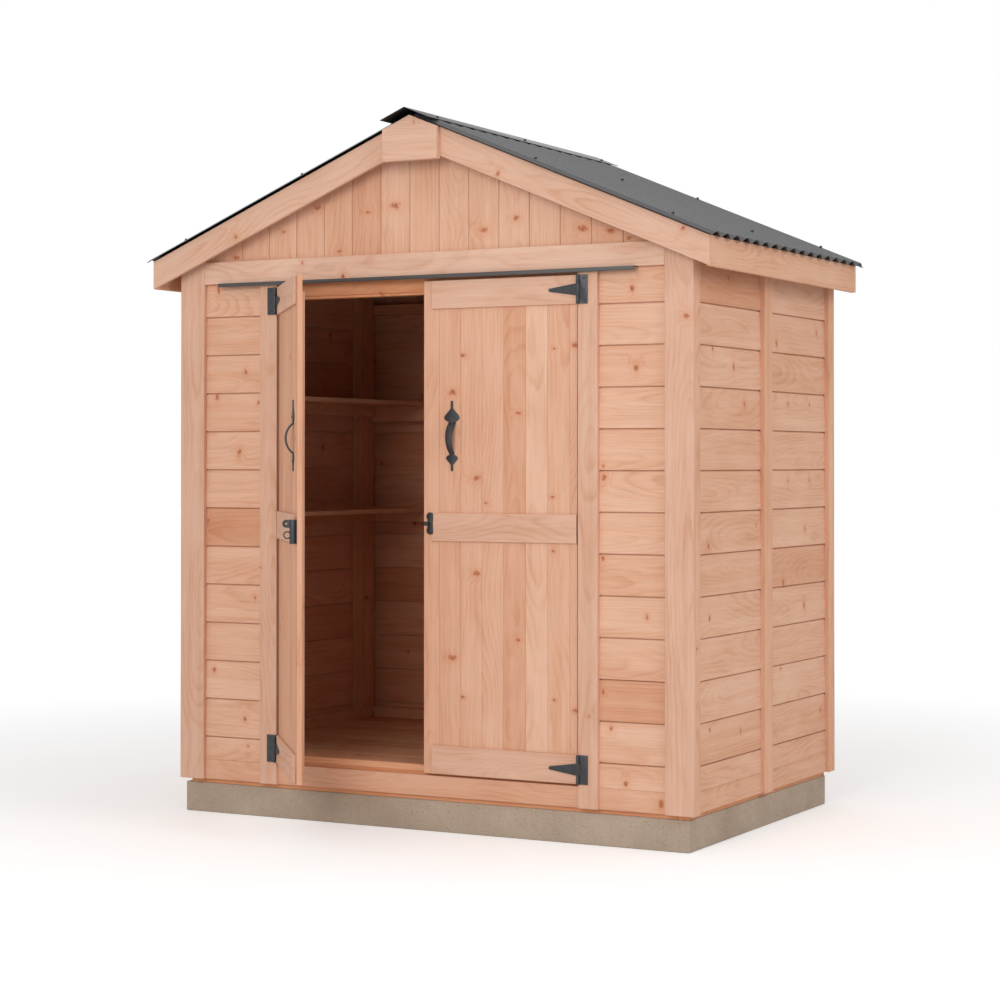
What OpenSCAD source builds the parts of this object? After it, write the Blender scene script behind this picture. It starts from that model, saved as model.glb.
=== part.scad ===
// Gable-front cedar tool shed with a pair of ledged doors, on a low concrete base.
// Origin: middle of the base's underside. X runs across the doors, Y to the back, Z up. Millimetres.

/* [Shed] */
// Width over the corner boards
shed_w = 1829; // [1700:1:2100]
// Depth over the corner boards
shed_d = 1175; // [1000:1:1400]
// Height of the wall top, under the gable trim
wall_z1 = 1720; // [1600:1:1800]
// Thickness of trim boards and other planed boards
trim_t = 14; // [12:0.5:20]
// Thickness of the wall cladding
siding_t = 14; // [12:0.5:18]
// Visible height of one siding course
course_h = 124; // [90:1:160]
// Height of the cut course above the skirt
first_course_h = 76; // [40:1:120]
// Depth of a course's face under the butt of the next one
lap_depth = 4; // [2:0.5:8]
// Side of the square studs and plates
stud_t = 38; // [32:1:50]

/* [Base and floor] */
// Height of the concrete base
base_h = 96; // [60:1:150]
// How far the base stands in from the corner boards at the sides
base_side_inset = 16; // [10:1:40]
// How far the base stands in from the corner boards at the front and back
base_end_inset = 25; // [10:1:40]
// How far the base lies off the middle of the shed, to the left
base_shift = 9; // [0:1:10]
// Height of the floor joists
joist_h = 89; // [70:1:120]
// Thickness of the floor boards
floor_t = 19; // [16:0.5:28]
// Gap between the base and the underside of the cladding
clad_lift = 14; // [8:1:20]
// Height of the skirt board
skirt_h = 64; // [50:1:75]

/* [Trim] */
// Width of the corner boards on the front and back
corner_w = 93; // [60:1:120]
// Width of the narrow corner boards on the sides
side_corner_w = 36; // [30:1:60]
// Width of the battens on the sides and the back
batten_w = 63; // [40:1:90]
// Height of the trim board under the gable
header_h = 72; // [50:1:90]
// Width of the trim beside the doors
jamb_w = 65; // [50:1:80]
// How far the drip flashing stops short of the left corner board
flashing_left = 63.5; // [30:0.5:130]
// How far the drip flashing stops short of the right corner board
flashing_right = 91.5; // [30:0.5:130]
// How far the drip flashing stands out
flashing_out = 28; // [26:1:45]
// Height of the flashing's front lip
flashing_lip = 12; // [6:0.5:12]
// Thickness of sheet metal
sheet_t = 2; // [1.5:0.25:2.5]

/* [Doors] */
// Clear width between the jamb trims
doorway_w = 1076; // [900:2:1150]
// Gap between the meeting edges of the two doors
meeting_gap = 6; // [5:0.5:12]
// Clearance round the moving doors
door_clear = 5; // [5:0.5:8]
// Gap between the skirt and the bottom of the doors
sill_gap = 8; // [6:0.5:12]
// How far the lintel hangs under the tops of the doors
lintel_drop = 39; // [20:1:60]
// Thickness of the door boards
door_t = 15; // [12:0.5:19]
// Thickness of the door rails
rail_t = 8; // [6:0.5:19]
// Width of the door boards
door_board_w = 75; // [60:0.5:100]
// Width of the cut board at the meeting edge
door_first_w = 55; // [40:0.5:70]
// Height of the door rails
rail_h = 87; // [60:1:110]
// How far the rails stop short of the meeting edge
rail_short = 31; // [30:1:40]
// Width of the stiles on the back of a door
stile_w = 64; // [40:1:90]
// How far the stiles stand in from the door's edges
stile_inset = 60; // [40:1:80]
// Depth of the V-grooves between boards
groove = 3; // [1:0.5:4]
// Angle at which the left door stands open
left_open = 50.5; // [0:0.5:90]

/* [Roof] */
// Slope of the roof in degrees
roof_pitch = 22.62; // [18:0.02:26]
// Height of the roof plane over the wall top, at the corner boards
eave_rise = 107; // [95:1:140]
// Overhang of the front rake boards beyond the corner boards
gable_overhang = 54; // [40:1:90]
// Overhang of the eave fascias beyond the corner boards
eave_overhang = 72; // [45:1:100]
// Width of the rake boards across their slope
rake_w = 83; // [70:1:86]
// Half the width of the plate over the peak joint
peak_half = 97; // [70:1:130]
// Height of the peak plate
peak_h = 140; // [110:1:180]
// Thickness of the peak plate
peak_t = 25; // [19:0.5:32]
// Thickness of the roof deck
deck_t = 12; // [9:0.5:18]
// Pitch of the corrugations
wave_pitch = 76; // [60:1:90]
// Height of the corrugated sheet over both faces
wave_h = 16; // [12:0.5:20]
// Overhang of the sheets beyond the eave fascias
sheet_eave = 14; // [5:1:40]
// Overhang of the sheets beyond the front rake boards
sheet_front = 14; // [5:1:30]
// Overhang of the sheets beyond the back rake boards
sheet_back = 31; // [10:1:40]
// Overhang of the ridge cap beyond the front of the sheets
cap_front = 42; // [15:1:60]
// Overhang of the ridge cap beyond the back of the sheets
cap_back = 16; // [5:1:40]
// Length of the ridge cap down each slope
cap_flange = 92; // [60:1:140]
// Depth of the rafters
rafter_h = 64; // [50:1:80]

/* [Shelves] */
// Reach of the shelves from the studs of the left wall
shelf_reach = 229; // [150:1:290]
// Height of the upper shelf's underside
upper_shelf_z = 1347; // [1250:1:1450]
// Height of the lower shelf's underside
lower_shelf_z = 962; // [800:1:1050]
// Height of the rail along the back wall
back_rail_h = 57; // [38:1:80]

/* [Hardware] */
// Height of the hinge plates
hinge_h = 87; // [70:1:100]
// Width of the hinge plates
hinge_plate_w = 31; // [24:1:36]
// Thickness of the hinge straps and plates
hinge_t = 3; // [2:0.5:4]
// Radius of the hinge knuckles
knuckle_r = 5; // [4.5:0.1:5.5]
// Radius of the hinge pins
pin_r = 2.5; // [2:0.1:3]
// Length of the hinge straps from the pin
strap_l = 99; // [70:1:140]
// Height of the hinge straps at the knuckle
strap_h = 38; // [25:1:50]
// Length of the pull handles
handle_l = 215; // [190:1:240]
// Height of the pull handles' middle over the middle rail's
handle_rise = 280.5; // [200:0.5:340]
// Distance of the handles from the meeting edge
handle_in = 101; // [85:1:150]
// How far the grip stands out from the boards
grip_out = 27; // [24:1:34]
// How far the middle of the latch lies under the middle rail's
latch_drop = 7.5; // [0:0.5:40]
// Height of the striker plate's middle over the middle rail's
striker_rise = 10.5; // [0:0.5:40]

/* [Hidden] */
$fn = 48;

// Overrun of every cut
over = 1;
// Gap between a curved or sloping piece and its seat
seat = 0.3;
// Joint between pieces of one frame
joint_gap = 1;
// Running clearance of a hinge pin
pin_clear = 0.08;
// Clearance between hinge knuckles, end to end
knuckle_clear = 0.5;

// Walls, from the outside in
half_w = shed_w / 2;
half_d = shed_d / 2;
side_face = half_w - trim_t;
end_face = half_d - trim_t;
side_in = side_face - siding_t;
end_in = end_face - siding_t;
side_stud_in = side_in - stud_t;
end_stud_in = end_in - stud_t;

// Levels, from the ground up
frame_z1 = base_h + joist_h;
floor_z1 = frame_z1 + floor_t;
clad_z0 = base_h + clad_lift;
siding_z0 = clad_z0 + skirt_h;
plate_z1 = floor_z1 + stud_t;
door_z0 = siding_z0 + sill_gap;
flashing_z0 = wall_z1 - sheet_t;
lip_z0 = wall_z1 - flashing_lip;
door_z1 = lip_z0 - door_clear - knuckle_clear * 4;
lintel_z0 = door_z1 - lintel_drop;
lintel_h = 89;
lintel_rebate_h = 9;
lintel_rebate_d = 6;

// Doorway: the doors hang between the jamb trims, their rails flush with the trims
jamb_x = doorway_w / 2;
opening_x = jamb_x + door_clear;
jamb_stud_x = opening_x + stud_t;
door_edge = jamb_x - door_clear;
meet_x = meeting_gap / 2;
door_w = door_edge - meet_x;
rail_face = half_d;
board_face = rail_face - rail_t;
board_back = board_face - door_t;
sill_y = min(board_back - door_clear, end_in);
stile_back = board_back - trim_t;
stile_z0 = floor_z1 + sill_gap;
stile_z1 = lintel_z0 - sill_gap;
top_rail_z = door_z1 - rail_h / 2;
bottom_rail_z = door_z0 + rail_h / 2;
mid_rail_z = (door_z0 + door_z1) / 2;
handle_z = mid_rail_z + handle_rise;
latch_z = mid_rail_z - latch_drop;
striker_z = mid_rail_z + striker_rise;

// Hinge pins stand just clear of the trim's face and the door's edge
knuckle_lift = knuckle_r + joint_gap;
pivot_y = -(rail_face + knuckle_lift);
pivot_x = jamb_x + hinge_t;
hinge_zs = [bottom_rail_z, top_rail_z];
strap_tip_r = 5;

// Roof
slope = tan(roof_pitch);
along = cos(roof_pitch);
roof_peak_z = wall_z1 + eave_rise + slope * half_w;
rake_y = half_d + gable_overhang;
rake_in = rake_y - trim_t;
back_rake_y = half_d + trim_t;
eave_x = half_w + eave_overhang;
fascia_in = eave_x - trim_t;
deck_v = deck_t / along;
rake_v = rake_w / along;
rafter_v = rafter_h / along;
sheet_y0 = -rake_y - sheet_front;
sheet_y1 = back_rake_y + sheet_back;
cap_y0 = sheet_y0 - cap_front;
cap_y1 = sheet_y1 + cap_back;
wave_top = seat + wave_h;
sheet_l = (eave_x + sheet_eave) / along;
sheet_x0 = knuckle_clear * wave_h;
wave_steps = 12;
wave_lead_share = 0.4;

// Height of the roof plane, the deck's underside and the wall tops at a distance from the ridge
function roof_z(x) = roof_peak_z - slope * abs(x);
function deck_under(x) = roof_z(x) - deck_v;
side_top = deck_under(side_face) - seat;
trim_top = deck_under(half_w) - seat;

// Gable boards
gable_board_w = 105;
gable_pairs = floor(side_face / gable_board_w);
gable_first_w = side_face + gable_board_w / 2 - gable_pairs * gable_board_w;

// Back wall battens and studs stand at thirds of the clear wall
back_third_x = (half_w - corner_w) / 3;

cedar = [0.85, 0.65, 0.52];
cedar_dark = [0.80, 0.57, 0.43];
concrete = [0.64, 0.57, 0.50];
roof_black = [0.20, 0.20, 0.21];
hardware = [0.16, 0.16, 0.17];

// Shapes used throughout

module block(low, high) {
    translate(low) cube(high - low);
}

module xz_prism(points, y0, y1) {
    translate([0, y1, 0]) rotate([90, 0, 0]) linear_extrude(y1 - y0) polygon(points);
}

module yz_prism(points, x0, x1) {
    translate([x0, 0, 0]) rotate([90, 0, 90]) linear_extrude(x1 - x0) polygon(points);
}

module both_sides() {
    children();
    mirror([1, 0, 0]) children();
}

module both_ends() {
    children();
    mirror([0, 1, 0]) children();
}

// Lap siding in section: each course slopes in from its butt to the butt above
function course_lines(z1) = concat(
    [siding_z0],
    [for (z = siding_z0 + first_course_h; z < z1; z = z + course_h) z],
    [z1]
);

function lap_outline(face, z1) = let (lines = course_lines(z1), last = len(lines) - 1) concat(
    [for (i = [0 : last - 1], top = [0, 1])
        [face - top * lap_depth * (lines[i + 1] - lines[i]) / course_h, lines[i + top]]],
    [[face - siding_t, z1], [face - siding_t, siding_z0]]
);

// Boarding in plan: V-grooves on the face at the joints of the boards
function board_joints(w, first, pitch) = [for (x = first; x < w - pitch / 4; x = x + pitch) x];
function boarding_outline(w, joints, t) = concat(
    [[0, 0]],
    [for (x = joints, p = [[-groove, 0], [0, groove], [groove, 0]]) [x + p[0], p[1]]],
    [[w, 0], [w, t], [0, t]]
);

module end_siding(x0, x1) {
    yz_prism([for (p = lap_outline(end_face, wall_z1)) [-p[0], p[1]]], x0, x1);
}

module side_siding() {
    xz_prism(lap_outline(side_face, side_top), -end_in, end_in);
}

// Base and floor

module concrete_base() {
    x = half_w - base_side_inset;
    y = half_d - base_end_inset;
    color(concrete) block([-x - base_shift, -y, 0], [x - base_shift, y, base_h]);
}

module floor_frame() {
    x = side_in - stud_t;
    front = stud_t / 2 - sill_y;
    back = end_in - stud_t / 2;
    rows = 3;
    color(cedar_dark) {
        both_sides() block([x, -sill_y, base_h], [side_in, end_in, frame_z1]);
        for (i = [0 : rows]) {
            mid = front + (back - front) * i / rows;
            block([joint_gap - x, mid - stud_t / 2, base_h], [x - joint_gap, mid + stud_t / 2, frame_z1]);
        }
    }
}

module floor_boards() {
    color(cedar) difference() {
        block([-side_in, -end_in, frame_z1], [side_in, end_in, floor_z1]);
        block([-opening_x, -end_in - over, frame_z1 - over], [opening_x, -sill_y, floor_z1 + over]);
    }
}

module skirt_boards() {
    color(cedar) {
        both_ends() block([-side_face, end_in, clad_z0], [side_face, end_face, siding_z0]);
        both_sides()
            block([side_in, joint_gap - end_in, clad_z0], [side_face, end_in - joint_gap, siding_z0]);
    }
}

// Walls

module front_wall_left() {
    color(cedar) end_siding(-side_face, -opening_x);
}

module front_wall_right() {
    color(cedar) end_siding(opening_x, side_face);
}

module back_wall() {
    color(cedar) mirror([0, 1, 0]) end_siding(-side_face, side_face);
}

module right_wall() {
    color(cedar) side_siding();
}

module left_wall() {
    color(cedar) mirror([1, 0, 0]) side_siding();
}

module front_gable() {
    edge_z = deck_under(side_face) - seat;
    peak_z = deck_under(0) - seat;
    color(cedar) intersection() {
        translate([-side_face, -end_face, 0])
            linear_extrude(roof_peak_z) boarding(2 * side_face, gable_first_w, gable_board_w, siding_t);
        xz_prism(
            [[-side_face, wall_z1], [side_face, wall_z1],
             [side_face, edge_z], [0, peak_z], [-side_face, edge_z]],
            -half_d, -end_stud_in
        );
    }
}

module back_gable() {
    mirror([0, 1, 0]) front_gable();
}

module boarding(w, first, pitch, t) {
    polygon(boarding_outline(w, board_joints(w, first, pitch), t));
}

// Framing

module door_lintel() {
    x = jamb_stud_x;
    color(cedar_dark) difference() {
        block([-x, -sill_y, lintel_z0], [x, stud_t - sill_y, lintel_z0 + lintel_h]);
        block([-x - over, -sill_y - over, lintel_z0 - over],
              [x + over, lintel_rebate_d - sill_y, lintel_z0 + lintel_rebate_h]);
    }
}

module wall_plates() {
    y = end_stud_in - joint_gap;
    color(cedar_dark) {
        both_sides() {
            block([side_stud_in, -y, floor_z1], [side_in, y, plate_z1]);
            block([side_stud_in, -y, side_top - stud_t], [side_in, y, side_top]);
            block([jamb_stud_x + joint_gap, -end_in, floor_z1], [side_in, -end_stud_in, plate_z1]);
            block([jamb_stud_x + joint_gap, -end_in, wall_z1 - stud_t], [side_in, -end_stud_in, wall_z1]);
        }
        block([-side_in, end_stud_in, floor_z1], [side_in, end_in, plate_z1]);
        block([-side_in, end_stud_in, wall_z1 - stud_t], [side_in, end_in, wall_z1]);
    }
}

module wall_studs() {
    post_w = lintel_h;
    y = end_stud_in - joint_gap;
    side_z1 = side_top - stud_t;
    color(cedar_dark) {
        both_sides() {
            block([side_stud_in, -y, plate_z1], [side_in, stud_t - y, side_z1]);
            block([side_stud_in, -stud_t / 2, plate_z1], [side_in, stud_t / 2, side_z1]);
            block([side_stud_in, y - post_w, plate_z1], [side_in, y, side_z1]);
            block([opening_x, -end_in, floor_z1], [jamb_stud_x, -end_stud_in, lintel_z0]);
            block([back_third_x - stud_t / 2, end_stud_in, plate_z1],
                  [back_third_x + stud_t / 2, end_in, wall_z1 - stud_t]);
        }
    }
}

// Shelves along the left wall, on cleats; the back rail carries the upper one

module shelf(z) {
    edge_x = shelf_reach - side_stud_in;
    color(cedar_dark) block([-side_stud_in, -end_stud_in, z], [edge_x, end_stud_in, z + trim_t]);
}

module upper_shelf() {
    shelf(upper_shelf_z);
}

module lower_shelf() {
    shelf(lower_shelf_z);
}

module shelf_cleats() {
    y = end_stud_in - trim_t;
    x = trim_t - side_stud_in;
    color(cedar_dark) {
        for (z = [lower_shelf_z, upper_shelf_z]) {
            block([-side_stud_in, joint_gap - y, z - stud_t], [x, y - joint_gap, z]);
            block([-side_stud_in, -end_stud_in, z - stud_t], [-opening_x, -y, z]);
        }
        block([-side_stud_in, y, lower_shelf_z - stud_t],
              [shelf_reach - side_stud_in, end_stud_in, lower_shelf_z]);
        block([-side_stud_in, y, upper_shelf_z - back_rail_h], [side_stud_in, end_stud_in, upper_shelf_z]);
    }
}

// Trim

module corner_pair(y0, y1) {
    both_sides() block([half_w - corner_w, y0, clad_z0], [half_w, y1, trim_top]);
}

module front_corner_boards() {
    color(cedar) corner_pair(-half_d, -end_face);
}

module back_corner_boards() {
    color(cedar) corner_pair(end_face, half_d);
}

module side_corner_boards() {
    color(cedar) both_sides() both_ends()
        block([side_face, end_face - side_corner_w, clad_z0], [half_w, end_face, trim_top]);
}

module wall_battens() {
    color(cedar) both_sides() {
        block([side_face, -batten_w / 2, clad_z0], [half_w, batten_w / 2, trim_top]);
        block([back_third_x - batten_w / 2, end_face, clad_z0],
              [back_third_x + batten_w / 2, half_d, wall_z1]);
    }
}

module header_trims() {
    x = half_w - corner_w;
    color(cedar) both_ends() block([-x, end_face, wall_z1], [x, half_d, wall_z1 + header_h]);
}

module door_jamb_trims() {
    color(cedar) both_sides()
        block([jamb_x, -half_d, clad_z0], [jamb_x + jamb_w, -end_face, flashing_z0]);
}

module drip_flashing() {
    front = end_face + flashing_out;
    color(hardware) yz_prism(
        [[-end_face, wall_z1], [-front, wall_z1], [-front, lip_z0], [sheet_t - front, lip_z0],
         [sheet_t - front, flashing_z0], [-end_face, flashing_z0]],
        corner_w - half_w + flashing_left, half_w - corner_w - flashing_right
    );
}

// Roof

module rake_boards() {
    x0 = joint_gap / 2;
    color(cedar) both_sides() for (y = [-rake_y, half_d]) xz_prism(
        [[x0, roof_z(x0)], [eave_x, roof_z(eave_x)],
         [eave_x, roof_z(eave_x) - rake_v], [x0, roof_z(x0) - rake_v]],
        y, y + trim_t
    );
}

module peak_plates() {
    low = roof_peak_z - peak_h;
    side = roof_z(peak_half);
    color(cedar) for (y = [-rake_y - peak_t, back_rake_y]) xz_prism(
        [[-peak_half, low], [peak_half, low], [peak_half, side], [0, roof_peak_z], [-peak_half, side]],
        y, y + peak_t
    );
}

module eave_fascias() {
    top = roof_z(eave_x);
    color(cedar) both_sides() block([fascia_in, -rake_in, top - rake_v], [eave_x, half_d, top]);
}

module roof_decks() {
    x0 = joint_gap / 2;
    color(cedar_dark) both_sides() xz_prism(
        [[x0, roof_z(x0)], [fascia_in, roof_z(fascia_in)],
         [fascia_in, deck_under(fascia_in)], [x0, deck_under(x0)]],
        -rake_in, half_d
    );
}

module roof_frame() {
    ridge_x = trim_t / 2;
    x0 = ridge_x + joint_gap;
    x1 = side_stud_in - joint_gap;
    color(cedar_dark) {
        xz_prism(
            [[-ridge_x, deck_under(ridge_x) - lintel_h], [ridge_x, deck_under(ridge_x) - lintel_h],
             [ridge_x, deck_under(ridge_x) - seat], [-ridge_x, deck_under(ridge_x) - seat]],
            -end_in, end_in
        );
        both_sides() for (mid = [stud_t / 2 - end_in, 0, end_in - stud_t / 2]) xz_prism(
            [[x0, deck_under(x0) - seat], [x1, deck_under(x1) - seat],
             [x1, deck_under(x1) - rafter_v], [x0, deck_under(x0) - rafter_v]],
            mid - stud_t / 2, mid + stud_t / 2
        );
    }
}

// Corrugated sheet in section: a cosine wave with its valleys on the deck
function wave_angle(y) = 360 * ((y - sheet_y0) / wave_pitch - wave_lead_share);
function wave(y) = seat + (wave_h - sheet_t) * (1 + cos(wave_angle(y))) / 2;
wave_count = ceil((sheet_y1 - sheet_y0) / wave_pitch * wave_steps);
function wave_y(i) = sheet_y0 + (sheet_y1 - sheet_y0) * i / wave_count;
function wave_outline() = concat(
    [for (i = [0 : wave_count]) [wave_y(i), wave(wave_y(i))]],
    [for (i = [wave_count : -1 : 0]) [wave_y(i), wave(wave_y(i)) + sheet_t]]
);

module right_roof_sheet() {
    color(roof_black) translate([0, 0, roof_peak_z]) rotate([0, roof_pitch, 0])
        yz_prism(wave_outline(), sheet_x0, sheet_l);
}

module left_roof_sheet() {
    mirror([1, 0, 0]) right_roof_sheet();
}

module ridge_cap() {
    x = cap_flange * along;
    low = roof_peak_z + (wave_top + seat) / along;
    high = low + sheet_t / along;
    drop = x * slope;
    color(roof_black) xz_prism(
        [[-x, low - drop], [0, low], [x, low - drop], [x, high - drop], [0, high], [-x, high - drop]],
        cap_y0, cap_y1
    );
}

// Doors: every piece is drawn on the right leaf, closed, and the left leaf is its mirror image

module hang_left() {
    translate([-pivot_x, pivot_y, 0]) rotate([0, 0, -left_open]) translate([pivot_x, -pivot_y, 0])
        mirror([1, 0, 0]) children();
}

module door_boards_leaf() {
    color(cedar) translate([meet_x, -board_face, door_z0])
        linear_extrude(door_z1 - door_z0) boarding(door_w, door_first_w, door_board_w, door_t);
}

module door_rails() {
    color(cedar) for (z = [bottom_rail_z, mid_rail_z, top_rail_z])
        block([meet_x + rail_short, -rail_face, z - rail_h / 2], [door_edge, -board_face, z + rail_h / 2]);
}

module door_stiles() {
    color(cedar) for (x = [meet_x + stile_inset, door_edge - stile_inset - stile_w])
        block([x, -board_back, stile_z0], [x + stile_w, -stile_back, stile_z1]);
}

// T-hinges: a plate with its pin on the jamb trim, and a tapered strap on the rail

module hinge_plates() {
    third = strap_h / 2 + knuckle_clear;
    clear_w = knuckle_r + joint_gap;
    color(hardware) both_sides() for (z = hinge_zs) translate([pivot_x, pivot_y, z]) {
        difference() {
            union() {
                block([0, knuckle_r - hinge_t + joint_gap, -hinge_h / 2],
                      [hinge_plate_w, knuckle_lift, hinge_h / 2]);
                translate([0, 0, -hinge_h / 2]) cylinder(r = knuckle_r, h = hinge_h);
            }
            block([-clear_w, -clear_w, -third], [clear_w, clear_w + over, third]);
        }
        translate([0, 0, -hinge_h / 2]) cylinder(r = pin_r, h = hinge_h);
    }
}

module door_straps() {
    tip = strap_l - strap_tip_r;
    inner = knuckle_lift - hinge_t;
    neck = knuckle_r - knuckle_clear;
    color(hardware) for (z = hinge_zs) translate([pivot_x, pivot_y, z]) difference() {
        union() {
            intersection() {
                translate([0, knuckle_lift, 0]) rotate([90, 0, 0]) linear_extrude(hinge_t) {
                    polygon([[0, strap_h / 2], [-tip, strap_tip_r],
                             [-tip, -strap_tip_r], [0, -strap_h / 2]]);
                    translate([-tip, 0]) circle(strap_tip_r);
                }
                translate([0, 0, -strap_h]) linear_extrude(2 * strap_h) polygon([
                    [-strap_l - over, inner - over], [0, inner - over], [0, neck], [-knuckle_lift, neck],
                    [-knuckle_lift, knuckle_lift + over], [-strap_l - over, knuckle_lift + over]
                ]);
            }
            translate([0, 0, -strap_h / 2]) cylinder(r = knuckle_r, h = strap_h);
        }
        translate([0, 0, -hinge_h / 2]) cylinder(r = pin_r + pin_clear, h = hinge_h);
    }
}

// Pull handle: two spade plates and a bowed grip that tapers downwards

handle_plate_t = 4;
spade_steps = 24;
spade_tip = 3.5;
grip_t = 5;
upper_leaf_w = 52;
upper_leaf_h = 71;
lower_leaf_w = 40;
lower_leaf_h = 54;
grip_chord = 100;
grip_top_w = 28;
grip_low_w = 13;

// Half the width of a spade plate in shares of its width, from the neck to the tip
function spade_share(s) = 12.55 * pow(s, 1.5) * pow(1 - s, 4);
function spade_side(w, h) =
    [for (i = [0 : spade_steps]) [max(w * spade_share(i / spade_steps), spade_tip), h * i / spade_steps]];

module spade(w, h) {
    side = spade_side(w, h);
    polygon(concat(side, [for (i = [spade_steps : -1 : 0]) [-side[i][0], side[i][1]]]));
}

module door_handle() {
    upper_z = (handle_l - upper_leaf_h) / 2;
    lower_z = (lower_leaf_h - handle_l) / 2;
    half_chord = grip_chord / 2;
    mid_z = (lower_leaf_h - upper_leaf_h) / 2;
    bow_r = (half_chord * half_chord + grip_out * grip_out) / (2 * grip_out);
    color(hardware) translate([meet_x + handle_in, -board_face, handle_z]) {
        rotate([90, 0, 0]) linear_extrude(handle_plate_t) {
            translate([0, handle_l / 2 - upper_leaf_h]) spade(upper_leaf_w, upper_leaf_h);
            translate([0, lower_leaf_h - handle_l / 2]) mirror([0, 1]) spade(lower_leaf_w, lower_leaf_h);
        }
        intersection() {
            translate([-upper_leaf_w / 2, bow_r - grip_out, mid_z]) rotate([0, 90, 0]) difference() {
                cylinder(r = bow_r, h = upper_leaf_w, $fn = 96);
                translate([0, 0, -over])
                    cylinder(r = bow_r - grip_t, h = upper_leaf_w + 2 * over, $fn = 96);
            }
            rotate([90, 0, 0]) linear_extrude(grip_out + over) polygon([
                [-grip_top_w / 2, upper_z], [-grip_low_w / 2, lower_z],
                [grip_low_w / 2, lower_z], [grip_top_w / 2, upper_z]
            ]);
        }
    }
}

// Gate latch: a barrel on the left leaf with an eared plate and a ring, a striker post on the right leaf

latch_w = 20;
latch_h = 72;
latch_out = 23;
ear_out = 43;
ear_h = 24;
ear_t = 5;
ear_hole_r = 3.5;
ring_r = 10;
ring_wire_r = 2;
latch_in = 8;
striker_plate_w = 25;
striker_plate_h = 68;
striker_waist_w = 17;
striker_in = 11;
post_in = 9;
post_out = 24;
post_r = 5;
post_head_r = 7;
post_head_t = 4;

module left_door_latch() {
    plate_t = hinge_t;
    x = meet_x + latch_in;
    mid_x = x + latch_w / 2;
    ear_z = (latch_h - ear_h) / 2;
    ear_end = ear_out - ear_h / 2;
    color(hardware) hang_left() translate([0, -board_face, latch_z]) {
        block([x, -plate_t, -latch_h / 2], [x + latch_w, 0, latch_h / 2]);
        translate([mid_x, -latch_out / 2, -latch_h / 2])
            cylinder(r = latch_out / 2 - plate_t / 2, h = latch_h);
        difference() {
            translate([mid_x - ear_t / 2, 0, ear_z]) rotate([90, 0, 90]) linear_extrude(ear_t) {
                translate([-ear_end, -ear_h / 2]) square([ear_end, ear_h]);
                translate([-ear_end, 0]) circle(ear_h / 2);
            }
            translate([mid_x - ear_t, -ear_end, ear_z]) rotate([0, 90, 0])
                cylinder(r = ear_hole_r, h = 2 * ear_t);
        }
        translate([mid_x, -latch_out - ring_r / 2, -ring_r]) rotate([0, 90, 0])
            rotate_extrude() translate([ring_r, 0]) circle(ring_wire_r);
    }
}

module right_door_striker() {
    x = meet_x + striker_in;
    color(hardware) translate([0, -board_face, striker_z]) {
        translate([x + striker_plate_w / 2, 0, 0]) rotate([90, 0, 0]) linear_extrude(hinge_t) {
            square([striker_waist_w, striker_plate_h - striker_plate_w], center = true);
            for (side = [-1, 1]) translate([0, side * (striker_plate_h - striker_plate_w) / 2])
                circle(striker_plate_w / 2);
        }
        translate([x + post_in, 0, 0]) rotate([90, 0, 0]) {
            cylinder(r = post_r, h = post_out);
            translate([0, 0, post_out - post_head_t]) cylinder(r = post_head_r, h = post_head_t);
        }
    }
}

module right_door_boards() {
    door_boards_leaf();
}

// The middle rail is notched round the striker plate
module right_door_rails() {
    notch_x = meet_x + striker_in + striker_plate_w + joint_gap;
    notch_z = striker_plate_h / 2 + joint_gap;
    color(cedar) difference() {
        door_rails();
        block([meet_x, -rail_face - over, striker_z - notch_z],
              [notch_x, over - board_face, striker_z + notch_z]);
    }
}

module right_door_stiles() {
    door_stiles();
}

module right_door_handle() {
    door_handle();
}

module right_door_straps() {
    door_straps();
}

module left_door_boards() {
    hang_left() door_boards_leaf();
}

module left_door_rails() {
    hang_left() door_rails();
}

module left_door_stiles() {
    hang_left() door_stiles();
}

module left_door_handle() {
    hang_left() door_handle();
}

module left_door_straps() {
    hang_left() door_straps();
}

concrete_base();
floor_frame();
floor_boards();
front_wall_left();
front_wall_right();
left_wall();
right_wall();
back_wall();
front_gable();
back_gable();
door_lintel();
skirt_boards();
front_corner_boards();
back_corner_boards();
side_corner_boards();
wall_battens();
header_trims();
door_jamb_trims();
drip_flashing();
rake_boards();
peak_plates();
eave_fascias();
roof_decks();
left_roof_sheet();
right_roof_sheet();
ridge_cap();
roof_frame();
wall_plates();
wall_studs();
upper_shelf();
lower_shelf();
shelf_cleats();
hinge_plates();
left_door_boards();
left_door_rails();
left_door_stiles();
left_door_handle();
left_door_straps();
left_door_latch();
right_door_boards();
right_door_rails();
right_door_stiles();
right_door_handle();
right_door_straps();
right_door_striker();
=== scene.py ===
"""Looks of a cedar tool shed: single boards with knots and grain, metal roof, black ironwork and a
concrete base."""
import math
import random

import bmesh
import bpy
from mathutils import Matrix, Vector

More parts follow.
